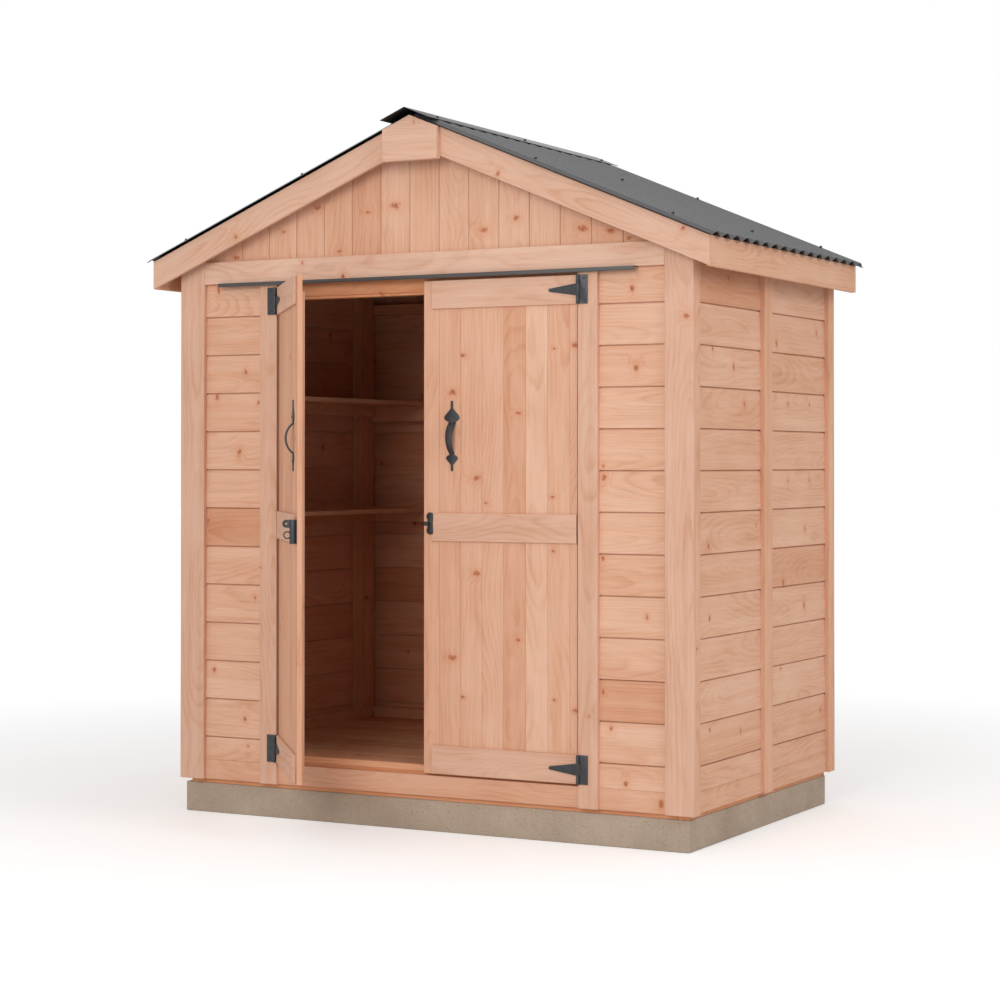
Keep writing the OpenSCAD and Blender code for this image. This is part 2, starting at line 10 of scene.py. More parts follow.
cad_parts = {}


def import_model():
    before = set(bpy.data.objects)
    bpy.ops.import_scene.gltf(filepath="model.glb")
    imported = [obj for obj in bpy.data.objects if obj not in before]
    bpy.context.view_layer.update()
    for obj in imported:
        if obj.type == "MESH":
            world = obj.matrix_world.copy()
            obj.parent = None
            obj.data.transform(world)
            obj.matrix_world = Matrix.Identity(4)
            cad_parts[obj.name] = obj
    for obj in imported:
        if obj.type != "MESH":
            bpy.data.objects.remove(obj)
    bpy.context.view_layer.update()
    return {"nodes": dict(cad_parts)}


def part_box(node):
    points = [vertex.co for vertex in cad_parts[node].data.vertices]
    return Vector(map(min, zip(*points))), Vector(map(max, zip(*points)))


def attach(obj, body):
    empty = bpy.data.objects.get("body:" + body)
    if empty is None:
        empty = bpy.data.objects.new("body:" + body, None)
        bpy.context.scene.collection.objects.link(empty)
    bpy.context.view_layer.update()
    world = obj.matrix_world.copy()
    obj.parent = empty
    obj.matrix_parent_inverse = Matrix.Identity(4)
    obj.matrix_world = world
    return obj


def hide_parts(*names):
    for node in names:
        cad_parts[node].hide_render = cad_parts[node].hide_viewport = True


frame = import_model()
rng = random.Random(11)

# Sizes in metres, as in the solids
HALF_W, HALF_D = 0.9145, 0.5875
SIDE_FACE, END_FACE, END_IN = 0.9005, 0.5735, 0.5595
CORNER_W, OPENING_X, RAKE_Y = 0.093, 0.543, 0.6415
SIDING_Z0, FIRST_COURSE, COURSE = 0.174, 0.076, 0.124
LAP, SIDING_T = 0.004, 0.014
WALL_Z1, PEAK_Z, SLOPE_DEG = 1.720, 2.20805, 22.62
SLOPE, ALONG = math.tan(math.radians(SLOPE_DEG)), math.cos(math.radians(SLOPE_DEG))
DECK_T = 0.012
DECK_V = DECK_T / ALONG
MEET_X, DOOR_EDGE, DOOR_Z0, DOOR_Z1 = 0.003, 0.533, 0.182, 1.701
DOOR_FIRST_W, DOOR_BOARD_W = 0.055, 0.075
BOARD_FACE, DOOR_T = 0.5795, 0.015
PIVOT_X, PIVOT_Y = 0.541, -0.5935
PIVOT = Vector((-PIVOT_X, PIVOT_Y, 0))
LEFT_OPEN = math.radians(50.5)
SWING = (Matrix.Translation(PIVOT) @ Matrix.Rotation(-LEFT_OPEN, 4, "Z")
         @ Matrix.Translation(-PIVOT))
TINY = 1e-6


# Shader helpers

def srgb(r, g, b):
    """Linear colour of a colour read on a screen."""
    linear = (c / 255 / 12.92 if c <= 10 else ((c / 255 + 0.055) / 1.055) ** 2.4 for c in (r, g, b))
    return tuple(linear) + (1.0,)


class Nodes:
    """A node tree, built one node at a time; a socket goes where a number can go."""

    def __init__(self, owner, out):
        owner.use_nodes = True
        self.tree = owner.node_tree
        self.tree.nodes.clear()
        self.out = self.node(out)

    def put(self, socket, value):
        if isinstance(value, bpy.types.NodeSocket):
            self.tree.links.new(value, socket)
        else:
            socket.default_value = value

    def node(self, kind, inputs=None, **props):
        made = self.tree.nodes.new("ShaderNode" + kind)
        for key, value in props.items():
            setattr(made, key, value)
        for key, value in (inputs or {}).items():
            self.put(made.inputs[key], value)
        return made

    def math(self, op, a, b=0.0, c=0.0, clamp=False):
        made = self.node("Math", {0: a, 1: b, 2: c}, operation=op, use_clamp=clamp)
        return made.outputs[0]

    def scaled(self, vector, size):
        return self.node("VectorMath", {0: vector, 1: size}, operation="MULTIPLY").outputs[0]

    def noise(self, vector, scale=1.0, detail=2.0, rough=0.5):
        made = self.node("TexNoise", {"Vector": vector, "Scale": scale, "Detail": detail,
                                      "Roughness": rough})
        return made.outputs[0]

    def step(self, value, low, high):
        made = self.node("MapRange", {"Value": value, "From Min": low, "From Max": high},
                         interpolation_type="SMOOTHSTEP")
        return made.outputs[0]

    def mix(self, factor, a, b, blend="MIX"):
        made = self.node("Mix", {"Factor": factor}, data_type="RGBA", blend_type=blend)
        self.put(made.inputs[6], a)
        self.put(made.inputs[7], b)
        return made.outputs[2]

    def grey(self, level):
        return self.node("CombineColor", {0: level, 1: level, 2: level}).outputs[0]

    def seen(self):
        """1 for rays from the camera, also by way of gloss or glass, and 0 for the rest."""
        rays = self.node("LightPath").outputs
        through = self.math("MAXIMUM", rays["Is Glossy Ray"], rays["Is Transmission Ray"])
        return self.math("MAXIMUM", rays["Is Camera Ray"], through)

    def ramp(self, factor, stops):
        made = self.node("ValToRGB", {"Fac": factor})
        ends = made.color_ramp.elements
        for i, (at, colour) in enumerate(stops):
            stop = ends[i] if i < 2 else ends.new(at)
            stop.position, stop.color = at, colour
        return made.outputs[0]


class Shader(Nodes):
    """A material with one surface."""

    def __init__(self, name):
        self.mat = bpy.data.materials.new(name)
        super().__init__(self.mat, "OutputMaterial")

    def surface(self, colour, rough, height=None, depth=0.0, **constants):
        shader = self.node("BsdfPrincipled", {"Base Color": colour, "Roughness": rough})
        for key, value in constants.items():
            shader.inputs[key.replace("_", " ")].default_value = value
        if height is not None:
            bump = self.node("Bump", {"Height": height, "Distance": depth, "Strength": BUMP})
            self.put(shader.inputs["Normal"], bump.outputs[0])
        self.put(self.out.inputs["Surface"], shader.outputs[0])
        return self.mat


BUMP = 0.6
KNOT_SLOTS = ("knot_a", "knot_b", "knot_c", "knot_d")
KNOT_HALO, KNOT_FACE = srgb(206, 132, 92), srgb(186, 108, 72)
KNOT_RING, KNOT_CORE = srgb(146, 76, 50), srgb(132, 58, 36)
LATE_TINT, BACK_TINT = (0.80, 0.62, 0.49, 1), (1.0, 0.80, 0.66, 1)
BACK_FROM, BACK_TO = -0.0115, -0.0138
NO_KNOT = 0.00001


def wood_shader(name, pale, mid, deep):
    """Knotty softwood. A board carries its grain coordinates in 'wood', its shade in 'tone', the
    place of its pith in 'pith' (across, depth, rings a metre) and its knots in 'knot_a' to 'knot_d'
    (along, across, radius)."""
    s = Shader(name)

    def board(attribute):
        return s.node("Attribute", attribute_name=attribute).outputs["Vector"]

    grain = board("wood")
    tone = s.node("Attribute", attribute_name="tone").outputs["Fac"]
    along, across, deep_in = s.node("SeparateXYZ", {0: grain}).outputs
    sway = s.noise(s.scaled(grain, (1.6, 4.0, 4.0)), detail=1.0)
    ripple = s.noise(s.scaled(grain, (9.0, 26.0, 26.0)))
    band = s.noise(s.scaled(grain, (0.9, 48.0, 48.0)), detail=2.0)
    fibre = s.noise(s.scaled(grain, (9.0, 330.0, 330.0)), detail=3.0, rough=0.6)
    blotch = s.noise(s.scaled(grain, (3.5, 11.0, 11.0)), detail=3.0)

    # Distance from the nearest knot, in radii of that knot; knots are wide across and uneven
    warp = [s.math("SUBTRACT", s.noise(s.scaled(grain, size)), 0.5)
            for size in ((75, 75, 75), (50, 110, 110))]
    rel = None
    for attribute in KNOT_SLOTS:
        at, aside, radius = s.node("SeparateXYZ", {0: board(attribute)}).outputs
        uneven = s.math("MULTIPLY", radius, 2.2)
        dx = s.math("MULTIPLY", s.math("SUBTRACT", along, at), 1.3)
        dx = s.math("MULTIPLY_ADD", warp[0], uneven, dx)
        dy = s.math("MULTIPLY", s.math("SUBTRACT", across, aside), 0.85)
        dy = s.math("MULTIPLY_ADD", warp[1], uneven, dy)
        away = s.math("SQRT", s.math("MULTIPLY_ADD", dx, dx, s.math("MULTIPLY", dy, dy)))
        one = s.math("DIVIDE", away, s.math("MAXIMUM", radius, NO_KNOT))
        rel = one if rel is None else s.math("MINIMUM", rel, one)
    halo = s.math("EXPONENT", s.math("MULTIPLY", s.math("MULTIPLY", rel, rel), -0.16))
    knot = s.math("SUBTRACT", 1.0, s.step(rel, 0.45, 1.3))
    circles = s.math("SINE", s.math("MULTIPLY", rel, 12.0))
    ringlet = s.math("MULTIPLY", s.math("MULTIPLY_ADD", circles, 0.5, 0.5), knot)
    core = s.math("SUBTRACT", 1.0, s.step(rel, 0.0, 0.6))

    # Growth rings round the pith, pushed aside by the knots
    pith, pith_depth, rings = s.node("SeparateXYZ", {0: board("pith")}).outputs
    dy = s.math("SUBTRACT", across, pith)
    depth = s.math("ADD", deep_in, pith_depth)
    dz = s.math("MULTIPLY_ADD", s.math("SUBTRACT", sway, 0.5), 0.16, depth)
    reach = s.math("SQRT", s.math("MULTIPLY_ADD", dy, dy, s.math("MULTIPLY", dz, dz)))
    phase = s.math("MULTIPLY_ADD", reach, rings, s.math("MULTIPLY", ripple, 1.1))
    phase = s.math("MULTIPLY_ADD", halo, 2.4, phase)
    late = s.ramp(s.math("FRACT", phase), [(0.0, (0, 0, 0, 1)), (1.0, (0.1, 0.1, 0.1, 1)),
                                           (0.5, (0.2, 0.2, 0.2, 1)), (0.84, (1, 1, 1, 1))])
    strength = s.math("MULTIPLY_ADD", s.step(blotch, 0.35, 0.7), 0.42, 0.1)

    shade = s.math("MULTIPLY_ADD", s.math("SUBTRACT", blotch, 0.5), 0.5, tone)
    shade = s.math("MULTIPLY_ADD", s.math("SUBTRACT", band, 0.5), 0.55, shade, clamp=True)
    colour = s.ramp(shade, [(0.0, pale), (1.0, deep), (0.5, mid)])
    darker = s.mix(1.0, colour, LATE_TINT, "MULTIPLY")
    colour = s.mix(s.math("MULTIPLY", late, strength), colour, darker)
    streak = s.math("MULTIPLY_ADD", s.math("SUBTRACT", fibre, 0.5), 0.34, 1.0)
    colour = s.mix(1.0, colour, s.grey(streak), "MULTIPLY")
    for mask, share, stain in ((halo, 0.34, KNOT_HALO), (knot, 0.7, KNOT_FACE), (ringlet, 0.4, KNOT_RING),
                               (core, 0.55, KNOT_CORE)):
        colour = s.mix(s.math("MULTIPLY", mask, share), colour, stain)
    # Backs of the siding, which face the inside, are tinted redder and darker
    back_face = s.step(deep_in, BACK_FROM, BACK_TO)
    colour = s.mix(back_face, colour, s.mix(1.0, colour, BACK_TINT, "MULTIPLY"))
    rough = s.math("MULTIPLY_ADD", fibre, 0.2, 0.6)
    height = s.math("MULTIPLY_ADD", late, -0.3, s.math("MULTIPLY_ADD", knot, 0.4, fibre))
    return s.surface(colour, rough, height, 0.0004, Specular_IOR_Level=0.12)


def concrete_shader():
    """Cast concrete: clouded, gritty and lightly pitted, with painted shade darkening the pits."""
    s = Shader("cast_concrete")
    place = s.node("TexCoord").outputs["Object"]
    cloud = s.noise(place, 4.0, 5.0, 0.6)
    grit = s.noise(place, 160.0, 3.0, 0.6)
    pores = s.node("TexVoronoi", {"Vector": place, "Scale": 75.0}).outputs["Distance"]
    pit = s.math("SUBTRACT", 1.0, s.step(pores, 0.08, 0.2))
    colour = s.ramp(cloud, [(0.3, srgb(160, 142, 124)), (0.72, srgb(184, 166, 148))])
    speck = s.math("MULTIPLY_ADD", s.math("SUBTRACT", grit, 0.5), 0.5, 1.0)
    colour = s.mix(1.0, colour, s.grey(speck), "MULTIPLY")
    # The pits are painted darker: painted shade in the pores
    colour = s.mix(s.math("MULTIPLY", pit, 0.45), colour, srgb(96, 82, 70))
    height = s.math("MULTIPLY_ADD", pit, -1.0, s.math("MULTIPLY_ADD", grit, 0.6, cloud))
    return s.surface(colour, 0.88, height, 0.0012, Specular_IOR_Level=0.25)


def metal_shader(name, dark, light, rough, specular=0.5, painted_shade_below=None):
    """Coated or painted metal; faces that do not look up can take an optional near-black colour, which is
    painted shade.
    """
    s = Shader(name)
    place = s.node("TexCoord").outputs["Object"]
    cloud = s.noise(place, 3.0, 4.0, 0.6)
    grain = s.noise(place, 420.0, 2.0)
    colour = s.ramp(cloud, [(0.3, dark), (0.75, light)])
    if painted_shade_below:
        # Faces that do not look up get the dark colour: painted shade under the sheets and on their edges
        up = s.node("SeparateXYZ", {0: s.node("NewGeometry").outputs["Normal"]}).outputs[2]
        colour = s.mix(s.step(up, 0.0, 0.4), painted_shade_below, colour)
    gloss = s.math("MULTIPLY_ADD", cloud, 0.22, rough - 0.11)
    return s.surface(colour, gloss, grain, 0.0002, Specular_IOR_Level=specular)


CEDAR = wood_shader("knotty_cedar", srgb(229, 189, 164), srgb(217, 168, 139), srgb(202, 142, 109))
TRIM = wood_shader("planed_trim", srgb(227, 190, 168), srgb(215, 173, 149), srgb(201, 151, 122))
FRAMING = wood_shader("sawn_framing", srgb(226, 174, 138), srgb(212, 149, 109), srgb(192, 117, 78))
CONCRETE = concrete_shader()
# Roof sheets: grey on faces that look up, near-black painted shade on undersides and edges
ROOFING = metal_shader("coated_roof_sheet", srgb(80, 80, 81), srgb(90, 90, 91), 0.33, 0.2,
                       srgb(14, 14, 15))
FLASHING = metal_shader("brown_flashing", srgb(58, 55, 54), srgb(72, 69, 67), 0.45)
IRON = metal_shader("black_iron", srgb(38, 40, 43), srgb(50, 52, 56), 0.42)


# Mesh helpers

SMOOTH_BELOW = math.radians(35)
FLAT_WITHIN, ACROSS = 0.005, 0.1
ON_FACE, NEAR_BOARD = 1e-4, 0.004
EASE_FRAMING, EASE_PLANED, EASE_IRON = 0.0016, 0.002, 0.0007
EASE_FLASHING, EASE_CAP, EASE_SHEET, EASE_CONCRETE = 0.0004, 0.0006, 0.0003, 0.004
DARK_SHARE, DARK_TONES, PALE_TONES = 0.14, (0.6, 0.8), (0.2, 0.5)
KNOT_RADII = (0.003, 0.004, 0.005, 0.007, 0.010)
PITH_ASIDE, PITH_DEPTH, RINGS_A_METRE = (-0.06, 0.06), (0.03, 0.10), (75, 130)
GRAIN_SHIFT = (0, 40)


def add_piece(name, mesh, material, body, nodes=(), smooth=False):
    mesh.materials.clear()
    mesh.materials.append(material)
    obj = bpy.data.objects.new(name, mesh)
    bpy.context.scene.collection.objects.link(obj)
    if smooth:
        mesh.shade_smooth()
        mesh.set_sharp_from_angle(angle=SMOOTH_BELOW)
    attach(obj, body)
    if nodes:
        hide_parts(*nodes)


def shade():
    """Tone of one board: most are alike, a few are darker."""
    return rng.uniform(*(DARK_TONES if rng.random() < DARK_SHARE else PALE_TONES))


def chance_knots(s0, s1, u0, u1, a_metre):
    """Knots of a board, at random, as many as it can carry at most."""
    count = min(len(KNOT_SLOTS), int((s1 - s0) * a_metre + rng.random()))
    return [(rng.uniform(s0, s1), rng.uniform(u0, u1), rng.choice(KNOT_RADII)) for _ in range(count)]


class Grain:
    """Attributes of one board's wood: where its tree's pith lay, its tone and its knots."""

    def __init__(self, middle, knots, tone=None):
        self.tone = shade() if tone is None else tone
        self.shift = Vector((rng.uniform(*GRAIN_SHIFT), rng.uniform(*GRAIN_SHIFT), 0.0))
        self.pith = Vector((middle + rng.uniform(*PITH_ASIDE) + self.shift.y, rng.uniform(*PITH_DEPTH),
                            rng.uniform(*RINGS_A_METRE)))
        most = len(KNOT_SLOTS)
        spots = [Vector(knot) + self.shift for knot in knots[:most]]
        self.knots = spots + [Vector()] * (most - len(spots))

    def write(self, layers, vert, place):
        vert[layers["wood"]] = Vector(place) + self.shift
        vert[layers["tone"]] = self.tone
        vert[layers["pith"]] = self.pith
        for name, spot in zip(KNOT_SLOTS, self.knots):
            vert[layers[name]] = spot


def wood_layers(work):
    """Adds a wood's attributes; layers move when one is added, so they are looked up afterwards."""
    vectors, numbers = work.verts.layers.float_vector, work.verts.layers.float
    names = ("wood", "pith") + KNOT_SLOTS
    for name in names:
        vectors.new(name)
    numbers.new("tone")
    layers = {name: vectors[name] for name in names}
    layers["tone"] = numbers["tone"]
    return layers


class Lumber:
    """Boards of one piece, each an extruded section with its own grain."""

    def __init__(self):
        self.work = bmesh.new()
        self.layers = wood_layers(self.work)

    def board(self, section, place, s0, s1, knots=(), tone=None):
        """Extrudes section [(u, w)] from s0 to s1, each a number or a function of u.
        place maps (s, u, w) to the shed."""
        us = [u for u, w in section]
        grain = Grain((min(us) + max(us)) / 2, list(knots), tone)
        rings = []
        for end in (s0, s1):
            ring = []
            for u, w in section:
                s = end(u) if callable(end) else end
                vert = self.work.verts.new(place(s, u, w))
                grain.write(self.layers, vert, (s, u, w))
                ring.append(vert)
            rings.append(ring)
        low, high = rings
        self.work.faces.new(low)
        self.work.faces.new(high)
        for i in range(len(low)):
            j = (i + 1) % len(low)
            self.work.faces.new((low[i], low[j], high[j], high[i]))

    def piece(self, name, material, body, nodes, matrix=None):
        bmesh.ops.recalc_face_normals(self.work, faces=self.work.faces)
        if matrix:
            self.work.transform(matrix)
        mesh = bpy.data.meshes.new(name)
        self.work.to_mesh(mesh)
        self.work.free()
        add_piece(name, mesh, material, body, nodes)


def cad_copy(node):
    """The node's solids with flat faces joined up, for finishing."""
    work = bmesh.new()
    work.from_mesh(frame["nodes"][node].data)
    bmesh.ops.remove_doubles(work, verts=work.verts, dist=TINY)
    bmesh.ops.dissolve_limit(work, angle_limit=FLAT_WITHIN, verts=work.verts, edges=work.edges)
    return work


def islands(work):
    """Groups of joined faces, one for each board."""
    left = set(work.faces)
    while left:
        start = left.pop()
        group, queue = {start}, [start]
        while queue:
            for edge in queue.pop().edges:
                for other in edge.link_faces:
                    if other in left:
                        left.discard(other)
                        group.add(other)
                        queue.append(other)
        yield group


def ease_edges(work, offset, segments=2, sharp=25):
    edges = [e for e in work.edges
             if len(e.link_faces) == 2 and e.calc_face_angle(0) > math.radians(sharp)]
    bmesh.ops.bevel(work, geom=edges, offset=offset, segments=segments, profile=0.5, affect="EDGES",
                    clamp_overlap=True)


def sunk(node, depth):
    """Moves the backs of trim boards into the lapped siding, so that no gap shows behind them."""
    def move(work):
        for vert in work.verts:
            x, y = vert.co.x, vert.co.y
            if abs(abs(y) - END_FACE) < ON_FACE and node != "side_corner_boards":
                vert.co.y -= math.copysign(depth, y)
            elif abs(abs(x) - SIDE_FACE) < ON_FACE:
                vert.co.x -= math.copysign(depth, x)
    return move


def box_middle(group):
    """Middle of the box round some faces, the same in whatever order they come."""
    spots = [v.co for f in group for v in f.verts]
    return tuple(round((min(p[i] for p in spots) + max(p[i] for p in spots)) / 2, 4)
                 for i in range(3))


def settled(direction):
    """A direction without its sign, rounded, so that ties fall the same way in each run."""
    parts = tuple(round(c, 4) for c in direction.normalized())
    return max(parts, tuple(-c for c in parts))


def planks(node, material, body, ease=EASE_FRAMING, a_metre=1.2, tones=None, knots=(), reshape=None):
    """Boards taken from a node's solids: eased edges, grain along the longest edge.
    Listed knots are (x, y, z, r)."""
    work = cad_copy(node)
    if reshape:
        reshape(work)
    ease_edges(work, ease)
    layers = wood_layers(work)
    for group in sorted(islands(work), key=box_middle):
        edges = {e for f in group for e in f.edges}
        longest = max((round(e.calc_length(), 5), settled(e.verts[0].co - e.verts[1].co))
                      for e in edges)
        run = Vector(longest[1]).normalized()
        broad = max((round(f.calc_area(), 6), settled(f.normal))
                    for f in group if abs(f.normal.dot(run)) < ACROSS)
        flat = Vector(broad[1]).normalized()
        side = flat.cross(run)
        verts = {v for f in group for v in f.verts}
        spots = {v: (v.co.dot(run), v.co.dot(side), v.co.dot(flat)) for v in verts}
        low = [min(p[i] for p in spots.values()) for i in range(3)]
        high = [max(p[i] for p in spots.values()) for i in range(3)]
        marks = []
        for x, y, z, r in knots:
            at = Vector((x, y, z))
            p = (at.dot(run), at.dot(side), at.dot(flat))
            if all(low[i] - NEAR_BOARD < p[i] < high[i] + NEAR_BOARD for i in range(3)):
                marks.append((p[0], p[1], r))
        marks = marks or chance_knots(low[0], high[0], low[1], high[1], a_metre)
        grain = Grain((low[1] + high[1]) / 2, marks, rng.uniform(*tones) if tones else None)
        for vert in sorted(verts, key=lambda v: tuple(v.co)):
            p = spots[vert]
            grain.write(layers, vert, (p[0], p[1], p[2] - low[2]))
    mesh = bpy.data.meshes.new(node + "_planks")
    work.to_mesh(mesh)
    work.free()
    add_piece(node + "_planks", mesh, material, body, (node,))


def cast(node, material, body, ease, segments=2, sharp=25):
    """A solid with eased edges in one material."""
    work = cad_copy(node)
    ease_edges(work, ease, segments, sharp)
    mesh = bpy.data.meshes.new(node + "_finish")
    work.to_mesh(mesh)
    work.free()
    add_piece(node + "_finish", mesh, material, body, (node,), smooth=True)


# Walls: lap siding, board by board between the trims

# Section of a course: its eased butt [(up, out)], rebates, shadow gap and tail behind the next one
BUTT = [(0.0, -0.0016), (0.0005, -0.0006), (0.0018, -0.0001)]
FOOT_REBATE, TAIL_REBATE = 0.0085, 0.0090
FOOT_LIFT, TAIL_RISE, SHADOW_GAP, SHOULDER_EASE = 0.009, 0.006, 0.0034, 0.0012
STAND_OUT_TONES, WALL_TONES = (0.68, 0.84), (0.3, 0.5)
SEEN_KNOTS_A_METRE, WALL_KNOTS_A_METRE, KNOT_MARGIN = 0.5, 1.4, 0.01


def course_lines(z1):
    """Heights of the courses' lower edges, and of the wall's top."""
    lines, z = [SIDING_Z0], SIDING_Z0 + FIRST_COURSE
    while z < z1 - TINY:
        lines.append(z)
        z += COURSE
    return lines + [z1]


# Knots seen on the walls: along the course, height, radius
FRONT_KNOTS = [(-0.776, 1.700, 0.0079), (-0.669, 1.434, 0.0076), (-0.782, 1.353, 0.0092),
               (-0.693, 1.174, 0.0106), (-0.620, 1.335, 0.0066), (0.711, 1.655, 0.0092),
               (0.724, 1.419, 0.0106), (0.617, 1.097, 0.0092), (0.614, 0.458, 0.0060),
               (0.640, 0.353, 0.0080), (0.690, 0.191, 0.0090), (0.758, 0.685, 0.0070),
               (-0.632, 0.705, 0.0060), (-0.791, 0.465, 0.0070), (-0.670, 0.310, 0.0070),
               (-0.658, 0.225, 0.0050), (-0.817, 0.952, 0.0050)]
SIDE_KNOTS = [(-0.246, 1.432, 0.0105), (-0.160, 1.319, 0.0085), (-0.405, 1.480, 0.0060),
              (0.103, 1.517, 0.0095), (0.464, 1.568, 0.0079), (0.207, 1.328, 0.0062),
              (0.398, 1.328, 0.0062), (0.206, 1.082, 0.0062), (0.397, 1.081, 0.0062),
              (-0.284, 1.698, 0.0073), (-0.435, 0.678, 0.0070), (-0.068, 0.945, 0.0060),
              (-0.445, 0.892, 0.0080), (0.354, 0.923, 0.0080), (0.345, 0.675, 0.0090),
              (0.143, 0.485, 0.0060), (0.496, 0.320, 0.0070), (-0.194, 0.321, 0.0060),
              (-0.430, 0.349, 0.0060)]


def siding(name, z1, bays, place, seen=(), dark=()):
    """Lapped courses from below; dark names (course, bay) of the boards that stand out."""
    lumber = Lumber()
    lines = course_lines(z1)
    for course, (low, high) in enumerate(zip(lines, lines[1:])):
        drop = LAP / COURSE * (high - low)
        last = high > z1 - TINY
        shoulder = high - (0.0 if last else SHADOW_GAP)
        tail = high if last else high + TAIL_RISE
        foot = low if low < SIDING_Z0 + TINY else low + FOOT_LIFT
        section = [(foot, -SIDING_T), (foot, -FOOT_REBATE), (low, -FOOT_REBATE)]
        section += [(low + up, out) for up, out in BUTT]
        section += [(shoulder - SHOULDER_EASE, -drop), (shoulder, -drop - SHOULDER_EASE),
                    (shoulder, -TAIL_REBATE), (tail, -TAIL_REBATE), (tail, -SIDING_T)]
        for bay, (s0, s1) in enumerate(bays):
            marks = [k for k in seen if s0 < k[0] < s1 and low < k[1] < high]
            marks = marks or chance_knots(s0, s1, low + KNOT_MARGIN, high - KNOT_MARGIN,
                                          SEEN_KNOTS_A_METRE if seen else WALL_KNOTS_A_METRE)
            tone = rng.uniform(*(STAND_OUT_TONES if (course, bay) in dark else WALL_TONES))
            lumber.board(section, place, s0, s1, marks, tone if seen else None)
    lumber.piece(name + "_siding", CEDAR, "shed", (name,))


siding("front_wall_left", WALL_Z1, [(-SIDE_FACE, -OPENING_X)],
       lambda s, u, w: (s, -END_FACE - w, u), FRONT_KNOTS, [(6, 0)])
siding("front_wall_right", WALL_Z1, [(OPENING_X, SIDE_FACE)],
       lambda s, u, w: (s, -END_FACE - w, u), FRONT_KNOTS, [(2, 0)])
third = (HALF_W - CORNER_W) / 3
siding("back_wall", WALL_Z1, [(-SIDE_FACE, -third), (-third, third), (third, SIDE_FACE)],
       lambda s, u, w: (s, END_FACE + w, u))
SIDE_SEAT, GABLE_SEAT = 0.0003, 0.0004  # gaps under the deck
SIDE_TOP = PEAK_Z - SLOPE * SIDE_FACE - DECK_V - SIDE_SEAT
siding("right_wall", SIDE_TOP, [(-END_IN, 0), (0, END_IN)],
       lambda s, u, w: (SIDE_FACE + w, s, u), SIDE_KNOTS, [(12, 0), (5, 1)])
siding("left_wall", SIDE_TOP, [(-END_IN, 0), (0, END_IN)], lambda s, u, w: (-SIDE_FACE - w, s, u))


# Upright boarding of gables and doors, with V-joints

def vee_section(u0, u1, thick, vee, gap, middle=None):
    """Section of a board with bevelled front edges; middle adds a point for a peak."""
    face = [(u0 + gap, vee), (u0 + gap + vee, 0.0)]
    face += [(middle, 0.0)] if middle is not None else []
    face += [(u1 - gap - vee, 0.0), (u1 - gap, vee), (u1 - gap, thick)]
    face += [(middle, thick)] if middle is not None else []
    return face + [(u0 + gap, thick)]


# Knots seen on the gable and on the right door: height, across, radius
GABLE_KNOTS = [(1.943, -0.104, 0.0140), (1.927, -0.204, 0.0073), (1.879, -0.520, 0.0066),
               (1.952, -0.391, 0.0106), (1.810, -0.309, 0.0066), (1.805, -0.706, 0.0115),
               (1.851, 0.211, 0.0112), (1.882, 0.324, 0.0099), (1.841, 0.549, 0.0132),
               (1.829, 0.640, 0.0115), (1.805, 0.701, 0.0083)]
DOOR_KNOTS = [(1.356, 0.106, 0.0112), (0.541, 0.105, 0.0119), (1.469, 0.141, 0.0073),
              (1.092, 0.191, 0.0119), (0.800, 0.192, 0.0112), (0.422, 0.141, 0.0066),
              (1.017, 0.222, 0.0053), (1.290, 0.335, 0.0073), (0.603, 0.335, 0.0073),
              (1.483, 0.455, 0.0043), (1.036, 0.451, 0.0056), (0.874, 0.452, 0.0056),
              (0.427, 0.455, 0.0043), (1.492, 0.525, 0.0095), (0.399, 0.527, 0.0079)]


GABLE_BOARDS, GABLE_PITCH, GABLE_VEE, GABLE_GAP = 17, 0.105, 0.0022, 0.0005
GABLE_DARK, GABLE_DARK_TONES, GABLE_TONES = 6, (0.56, 0.6), (0.28, 0.48)
DOOR_JOINTS, DOOR_VEE, DOOR_GAP = 7, 0.0011, 0.00015
GABLE_KNOTS_A_METRE, DOOR_KNOTS_A_METRE = 2.5, 1.2


def gable(name, side, seen=()):
    """Upright boards under the slopes; one darker board stands left of the middle."""
    lumber = Lumber()
    joints = [(i - GABLE_BOARDS / 2) * GABLE_PITCH for i in range(1, GABLE_BOARDS)]
    edges = [-SIDE_FACE] + joints + [SIDE_FACE]
    top = lambda u: PEAK_Z - SLOPE * abs(u) - DECK_V - GABLE_SEAT
    for i, (u0, u1) in enumerate(zip(edges, edges[1:])):
        middle = 0.0 if u0 < 0 < u1 else None
        marks = [k for k in seen if u0 < k[1] < u1]
        if not seen:
            marks = chance_knots(WALL_Z1, top((u0 + u1) / 2), u0, u1, GABLE_KNOTS_A_METRE)
        lumber.board(vee_section(u0, u1, SIDING_T, GABLE_VEE, GABLE_GAP, middle),
                     lambda s, u, w: (u, side * (END_FACE - w), s), WALL_Z1, top, marks,
                     rng.uniform(*(GABLE_DARK_TONES if i == GABLE_DARK else GABLE_TONES)))
    lumber.piece(name + "_boards", CEDAR, "shed", (name,))


gable("front_gable", -1, GABLE_KNOTS)
gable("back_gable", 1)


def door_boarding(body, sign, usual, special, matrix=None, seen=()):
    """Boards of one leaf from the meeting edge out; usual and special are ranges of tones."""
    lumber = Lumber()
    joints = [MEET_X + DOOR_FIRST_W + DOOR_BOARD_W * i for i in range(DOOR_JOINTS)]
    edges = [MEET_X] + joints + [DOOR_EDGE]
    for i, (u0, u1) in enumerate(zip(edges, edges[1:])):
        marks = [k for k in seen if u0 < k[1] < u1]
        if not seen:
            marks = chance_knots(DOOR_Z0, DOOR_Z1, u0, u1, DOOR_KNOTS_A_METRE)
        lumber.board(vee_section(u0, u1, DOOR_T, DOOR_VEE, DOOR_GAP),
                     lambda s, u, w: (sign * u, -BOARD_FACE + w, s), DOOR_Z0, DOOR_Z1, marks,
                     rng.uniform(*special.get(i, usual)))
    lumber.piece(body + "_boarding", CEDAR, body, (body + "_boards",), matrix)


